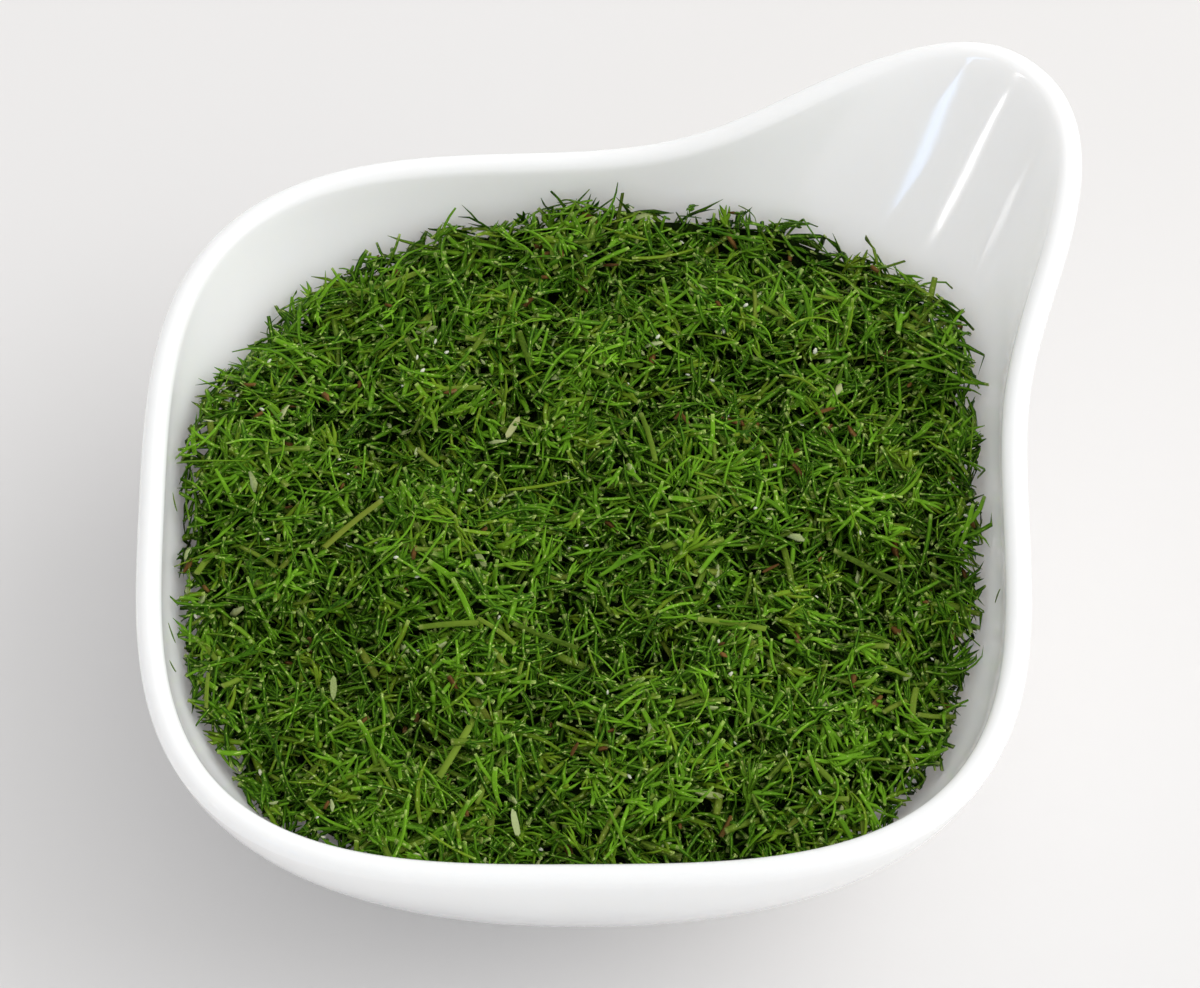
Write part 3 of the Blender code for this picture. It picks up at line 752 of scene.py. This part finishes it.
def strew_tree(clumps):
    """Strew shapes over the mound's top, lay them any way round, and keep them inside the dish."""
    w, start, end = geometry_tree("strewn_cuttings", STREW_INPUTS)
    given = start.outputs

    def chance(low, high, salt, data_type="FLOAT"):
        node = w.add("FunctionNodeRandomValue", data_type=data_type)
        low_socket, high_socket = [s for s in node.inputs if s.enabled and s.name in ("Min", "Max")]
        w.feed(low_socket, low)
        w.feed(high_socket, high)
        w.feed(node.inputs["Seed"], Term(w, given["Seed"]) * SEED_SPREAD + float(salt))
        return Term(w, next(s for s in node.outputs if s.enabled))

    facing = w.separate(w.add("GeometryNodeInputNormal").outputs[0])[2]
    top = w.math("GREATER_THAN", facing, STEEPEST)
    clump_values = {name: given[name] for name in ("Clump Size", "Clump Height")}
    lift = Term(w, place_group(w, clumps, clump_values).outputs["Lift"])
    bushy = w.ramp(lift / given["Clump Height"], -0.5, 0.3, given["Hollow Share"], 1.0)
    spots = w.add(
        "GeometryNodeDistributePointsOnFaces",
        {
            "Mesh": given["Geometry"],
            "Selection": top,
            "Density": bushy * given["Density"],
            "Seed": given["Seed"],
        },
        distribute_method="RANDOM",
    )
    depth = chance(given["Low"], given["High"], 1)
    raised = w.add(
        "GeometryNodeSetPosition",
        {"Geometry": spots.outputs["Points"], "Offset": w.combine(0.0, 0.0, lift + depth)},
    )
    lean = (chance(-1.0, 1.0, 2) + chance(-1.0, 1.0, 3)) * 0.5 * given["Tilt"]
    swing = w.combine(chance(-MOST_ROLL, MOST_ROLL, 4), lean, chance(0.0, math.tau, 5))
    turned = w.add(
        "FunctionNodeRotateRotation",
        {"Rotation": spots.outputs["Rotation"], "Rotate By": swing},
        rotation_space="LOCAL",
    )
    shelf = w.add(
        "GeometryNodeCollectionInfo",
        {"Collection": given["Shapes"], "Separate Children": True, "Reset Children": True},
    )
    size = chance(given["Scale Low"], given["Scale High"], 6)
    strewn = w.add(
        "GeometryNodeInstanceOnPoints",
        {
            "Points": raised.outputs[0],
            "Instance": shelf.outputs[0],
            "Pick Instance": True,
            "Instance Index": chance(0, 1000, 7, "INT"),
            "Rotation": turned.outputs[0],
            "Scale": size,
        },
    )
    tint = chance(given["Tint Low"], given["Tint High"], 8)
    tinted = store(w, strewn.outputs[0], "tint", "FLOAT", "INSTANCE", tint)
    index = Term(w, w.add("GeometryNodeInputIndex").outputs[0])
    cells = Term(w, given["Cells"])
    column = w.math("FLOORED_MODULO", index, cells)
    row = w.math("FLOOR", (index + 0.5) / cells)
    celled = store(w, tinted, "cell", "FLOAT_VECTOR", "INSTANCE", w.combine(column, row, 0.0))
    real = w.add("GeometryNodeRealizeInstances", {"Geometry": celled})
    kept = keep_inside(w, real.outputs[0], given["Dish"], given["Wall Gap"])
    cell, skin = recall(w, "cell"), recall(w, "skin")
    inset = w.vector("ADD", w.scale(skin, 1.0 - 2.0 * CELL_MARGIN), (CELL_MARGIN, CELL_MARGIN, 0.0))
    spot = w.scale(w.vector("ADD", cell, inset), 1.0 / cells)
    mapped = store(w, kept, "OFBake", "FLOAT2", "CORNER", spot)
    return finish_tree(w, start, end, mapped)


def recall(w, name):
    """The vector that the geometry carries under this name."""
    named = w.add("GeometryNodeInputNamedAttribute", {"Name": name}, data_type="FLOAT_VECTOR")
    return named.outputs[0]


def store(w, geometry, name, data_type, domain, value):
    """The geometry, carrying this value under this name."""
    node = w.add("GeometryNodeStoreNamedAttribute", {"Name": name}, data_type=data_type, domain=domain)
    w.feed(node.inputs["Geometry"], geometry)
    w.feed(next(s for s in node.inputs if s.enabled and s.name == "Value"), value)
    return node.outputs[0]


def keep_inside(w, geometry, dish, gap):
    """Fold back what would pass through the wall, so that it leans on the inside of the dish."""
    where = w.add("GeometryNodeInputPosition").outputs[0]
    x, y, z = w.separate(w.vector("SUBTRACT", where, tuple(MIDDLE)))
    flat = w.combine(x, y, 0.0)
    ahead = w.vector("NORMALIZE", flat)
    dish_mesh = w.add("GeometryNodeObjectInfo", {"Object": dish}).outputs["Geometry"]
    axis = w.vector("ADD", w.combine(0.0, 0.0, z), tuple(MIDDLE))
    ray = w.add(
        "GeometryNodeRaycast",
        {
            "Target Geometry": dish_mesh,
            "Source Position": axis,
            "Ray Direction": ahead,
            "Ray Length": RAY_REACH,
        },
    )
    room = Term(w, ray.outputs["Hit Distance"]) - gap
    over = w.math("MAXIMUM", w.length(flat) - room, 0.0) * ray.outputs["Is Hit"]
    back = w.scale(ahead, 0.0 - over * FOLD_BACK)
    return w.add("GeometryNodeSetPosition", {"Geometry": geometry, "Offset": back}).outputs[0]


def merged_copy(name, nodes):
    """One mesh of copies of these nodes, with loose triangles joined.

    It comes with a list of which node each point came from.
    """
    points, faces, owners = [], [], []
    for number, node in enumerate(nodes):
        shape = bmesh.new()
        shape.from_mesh(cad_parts[node].data)
        bmesh.ops.remove_doubles(shape, verts=shape.verts, dist=SAME_POINT)
        bmesh.ops.join_triangles(
            shape,
            faces=shape.faces,
            angle_face_threshold=MOST_FOLD,
            angle_shape_threshold=MOST_SKEW,
        )
        shape.verts.index_update()
        first = len(points)
        points += [vertex.co.copy() for vertex in shape.verts]
        faces += [[first + vertex.index for vertex in face.verts] for face in shape.faces]
        owners += [number] * len(shape.verts)
        shape.free()
    mesh = bpy.data.meshes.new(name)
    mesh.from_pydata(points, [], faces)
    mesh.shade_smooth()
    return mesh, owners


def rounded(name, mesh, levels):
    """The mesh as an object, subdivided and smoothed."""
    made = bpy.data.objects.new(name, mesh)
    bpy.context.scene.collection.objects.link(made)
    rounding = made.modifiers.new("rounding", "SUBSURF")
    rounding.levels = rounding.render_levels = levels
    return plain(name, made)


# The loose cuttings, from the bottom up: name, kind, slot, number to the square millimetre, lowest
# and highest, tilt, tint from and to, scale from and to. The tints are kept lower in the lower
# layers, as painted shade deep in the heap.
LAYERS = (
    # The bed layers' low tints are painted shade down in the heap; the tints rise layer by layer to the
    # top
    ("leaf_bed_1", "bed", "dill_green", 0.30, -0.0025, -0.0014, 0.45, 0.0, 0.08, 1.0, 1.4),
    ("leaf_bed_2", "bed", "dill_green", 0.28, -0.0018, -0.0008, 0.60, 0.0, 0.18, 1.0, 1.4),
    ("leaf_mid_1", "leaf", "dill_green", 0.26, -0.0012, -0.0001, 0.75, 0.0, 0.50, 0.9, 1.3),
    ("leaf_mid_2", "leaf", "dill_green", 0.26, -0.0006, 0.0004, 0.90, 0.1, 1.0, 0.8, 1.2),
    ("leaf_mid_3", "leaf", "dill_green", 0.22, -0.0003, 0.0006, 1.05, 0.2, 1.0, 0.7, 1.2),
    ("leaf_top", "leaf", "dill_green", 0.14, 0.0000, 0.0010, 1.20, 0.3, 1.0, 0.6, 1.15),
    ("wisps", "wisp", "dill_green", 0.035, 0.0000, 0.0010, 0.60, 0.5, 1.0, 0.6, 1.05),
    ("leaf_crumbs", "crumb", "dill_green", 0.36, -0.0008, 0.0007, 1.10, 0.1, 1.0, 0.8, 1.2),
    ("stem_scraps", "stem", "stem_olive", 0.06, -0.0006, 0.0004, 0.60, 0.0, 1.0, 0.7, 1.05),
    ("pale_chips", "chip", "pale_flake", 0.016, 0.0000, 0.0006, 0.80, 0.0, 0.9, 0.5, 1.0),
    ("white_grains", "grain", "pale_flake", 0.012, 0.0002, 0.0008, 0.90, 0.6, 1.0, 0.5, 0.9),
    ("brown_crumbs", "brown", "brown_bit", 0.02, -0.0001, 0.0005, 0.60, 0.0, 1.0, 0.8, 1.4),
)


def make_core(clumps):
    """The heap's inside, painted dark as shade, and the smooth mound that the loose cuttings are strewn
    on.
    """
    mesh, _ = merged_copy("dill_mound", ["dill_heap"])
    mound = rounded("dill_mound", mesh, 2)
    values = {
        "Sink": CORE_SINK,
        "Inset": CORE_INSET,
        "Clump Size": CLUMP_SIZE,
        "Clump Height": CLUMP_HEIGHT,
        "Material": depths_finish(),
    }
    core = grow("dill_core", core_tree(clumps), values, mound.data)
    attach(core, "root")
    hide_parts("dill_heap")
    return mound


def make_heap(dish, finishes):
    """The heap: its core, then each layer of loose cuttings."""
    clumps = clump_tree()
    mound = make_core(clumps)
    tree = strew_tree(clumps)
    leaves = shape_shelf("leaf_cutting", ((needle_shape, 14), (fork_shape, 12)), 11)
    wisps = shape_shelf("wisp_cutting", ((wisp_shape, 8),), 16)
    crumbs = shape_shelf("crumb_cutting", ((crumb_shape, 8),), 12)
    stems = shape_shelf("stem_cutting", ((stem_shape, 6),), 13)
    chips = shape_shelf("chip_cutting", ((chip_shape, 6),), 14)
    grains = shape_shelf("grain", ((grain_shape, 4),), 15)
    kinds = {
        "bed": (leaves, finishes["leaf"], 1.0),
        "leaf": (leaves, finishes["leaf"], HOLLOW_SHARE),
        "wisp": (wisps, finishes["leaf"], HOLLOW_SHARE),
        "crumb": (crumbs, finishes["leaf"], HOLLOW_SHARE),
        "stem": (stems, finishes["stem"], HOLLOW_SHARE),
        "chip": (chips, finishes["pale"], HOLLOW_SHARE),
        "grain": (grains, finishes["grain"], HOLLOW_SHARE),
        "brown": (crumbs, finishes["brown"], HOLLOW_SHARE),
    }
    for seed, layer in enumerate(LAYERS, 21):
        name, kind, slot, density, low, high, tilt, tint_low, fresh, small, large = layer
        shelf, finish, hollow_share = kinds[kind]
        values = {
            "Shapes": shelf,
            "Dish": dish,
            "Density": density * PER_SQUARE_MM,
            "Hollow Share": hollow_share,
            "Low": low,
            "High": high,
            "Tilt": tilt,
            "Tint Low": tint_low,
            "Tint High": fresh,
            "Scale Low": small,
            "Scale High": large,
            "Clump Size": CLUMP_SIZE,
            "Clump Height": CLUMP_HEIGHT,
            "Wall Gap": WALL_GAP,
            "Cells": BAKE_CELLS,
            "Seed": seed,
            "Material": finish,
        }
        strewn = grow(name, tree, values, mound.data)
        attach(strewn, "root")
    bpy.data.objects.remove(mound)


# The larger cuttings

# Node family, finish, slot, subdivisions, and how wide each is beside its solid
LARGER_KINDS = (
    ("long_needle", "leaf", "leaf_green", 1, 0.85),
    ("leaf_fork", "leaf", "leaf_green", 1, 0.9),
    ("stem_slice", "stem", "stem_olive", 0, 0.6),
    ("pale_flake", "pale", "pale_flake", 0, 0.75),
    ("brown_bit", "brown", "brown_bit", 1, 0.8),
    ("wall_strand", "stem", "strand_green", 1, 0.7),
)


def lay_skin(mesh, owners, slimness, draw):
    """Give each cutting in the mesh its tint, and its skin map: along its length, and around it."""
    tint = mesh.attributes.new("tint", "FLOAT", "POINT")
    skin = mesh.uv_layers.new(name="skin")
    places = {}
    for owner in set(owners):
        own = [vertex.co for vertex, number in zip(mesh.vertices, owners) if number == owner]
        middle = sum(own, Vector()) / len(own)
        far = max(own, key=lambda point: (point - middle).length) - middle
        ahead, reach = far.normalized(), far.length
        side = ahead.cross(Vector((0, 0, 1))).normalized()
        places[owner] = (middle, ahead, reach, side, side.cross(ahead), draw.uniform(0.2, 1.0))
    for vertex, owner in zip(mesh.vertices, owners):
        middle, ahead = places[owner][:2]
        along = ahead * (vertex.co - middle).dot(ahead)
        vertex.co = middle + along + (vertex.co - middle - along) * slimness
        tint.data[vertex.index].value = places[owner][5]
    for loop in mesh.loops:
        middle, ahead, reach, side, up, _ = places[owners[loop.vertex_index]]
        offset = mesh.vertices[loop.vertex_index].co - middle
        around = math.atan2(offset.dot(up), offset.dot(side)) / math.tau + 0.5
        skin.data[loop.index].uv = (0.5 + 0.5 * offset.dot(ahead) / reach, around)


def make_larger_cuttings(finishes):
    """One piece for each kind of larger cutting, in place of their plain solids."""
    draw = random.Random(5)
    for family, finish, slot, levels, slimness in LARGER_KINDS:
        nodes = [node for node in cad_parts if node.startswith(family)]
        mesh, owners = merged_copy(f"{family}_set", nodes)
        lay_skin(mesh, owners, slimness, draw)
        mesh.set_sharp_from_angle(angle=SHARP_EDGE)
        piece = rounded(f"{family}_set", mesh, levels)
        piece.data.materials.append(finishes[finish])
        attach(piece, "root")
        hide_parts(*nodes)


# The floor, light and camera


def studio_floor():
    """A smooth pale table top."""
    material, w, shader = new_material("pale_table", Specular_IOR_Level=0.3, Roughness=0.6)
    where = w.add("ShaderNodeTexCoord").outputs["Object"]
    cloud = w.noise(where, TABLE_CLOUDS, 3.0)
    w.feed(shader.inputs["Base Color"], w.mix(cloud, *TABLE_COLOURS))
    place = (MIDDLE.x, MIDDLE.y, DISH_LOW.z - TABLE_GAP)
    bpy.ops.mesh.primitive_plane_add(size=TABLE_SIZE, location=place)
    floor = bpy.context.object
    floor.name = "table_top"
    floor.data.materials.append(material)


def add_lamp(name, place, across, size, power, colour):
    """A rectangular lamp that faces the dish, with its width along this direction."""
    lamp = bpy.data.lights.new(name, "AREA")
    lamp.shape = "RECTANGLE"
    lamp.size, lamp.size_y = size
    lamp.energy = power
    lamp.color = colour
    back = (place - RIM_MIDDLE).normalized()
    along = (across - back * across.dot(back)).normalized()
    turned = Matrix((along, back.cross(along), back)).transposed().to_4x4()
    light = bpy.data.objects.new(name, lamp)
    bpy.context.scene.collection.objects.link(light)
    light.matrix_world = Matrix.Translation(place) @ turned


def studio_light():
    """The pale room round the dish, and its lamps."""
    world = bpy.data.worlds.new("pale_room")
    bpy.context.scene.world = world
    world.use_nodes = True
    w = Wiring(world.node_tree)
    room = world.node_tree.nodes["Background"].inputs
    room["Color"].default_value = ROOM_COLOUR
    heading = w.separate(w.add("ShaderNodeTexCoord").outputs["Generated"])
    strength = sum((way * share for way, share in zip(heading, ROOM_LEAN)), start=ROOM_STRENGTH)
    w.feed(room["Strength"], strength)
    for name, place, size, power, colour in LAMPS:
        place = Vector(place)
        add_lamp(name, RIM_MIDDLE + place, Vector((-place.y, place.x, 0)), size, power, colour)
    for name, first, last, width, power, colour in STREAKS:
        first, last = Vector(first), Vector(last)
        size = ((last - first).length, width)
        add_lamp(name, RIM_MIDDLE + (first + last) / 2, last - first, size, power, colour)


def studio_camera():
    """A long lens that looks down at the dish from its front."""
    back_way = Vector((0, -math.cos(VIEW_HEIGHT), math.sin(VIEW_HEIGHT)))
    up_way = Vector((0, math.sin(VIEW_HEIGHT), math.cos(VIEW_HEIGHT)))
    target = MIDDLE + Vector((0, 0, TARGET_HEIGHT))
    data = bpy.data.cameras.new("camera")
    data.lens = LENS
    data.sensor_width = SENSOR_WIDTH
    data.clip_start = NEAREST_SEEN
    camera = bpy.data.objects.new("camera", data)
    bpy.context.scene.collection.objects.link(camera)
    camera.location = target + VIEW_DISTANCE * back_way
    aim = target + Vector((AIM_RIGHT, 0, 0)) + AIM_UP * up_way
    camera.rotation_euler = (aim - camera.location).to_track_quat("-Z", "Y").to_euler()
    bpy.context.scene.camera = camera
    bpy.context.scene.view_settings.view_transform = "Standard"


def main():
    finishes = {
        "leaf": leaf_finish("fresh_leaf", LEAF_COLOURS),
        "stem": leaf_finish("cut_stem", STEM_COLOURS, 0.36),
        "pale": leaf_finish("pale_leaf_base", PALE_COLOURS, 0.3),
        "grain": leaf_finish("clear_grain", GRAIN_COLOURS, 0.2),
        "brown": leaf_finish("browned_leaf", BROWN_COLOURS, 0.5),
    }
    dish = make_dish()
    make_heap(dish, finishes)
    make_larger_cuttings(finishes)
    studio_floor()
    studio_light()
    studio_camera()


main()
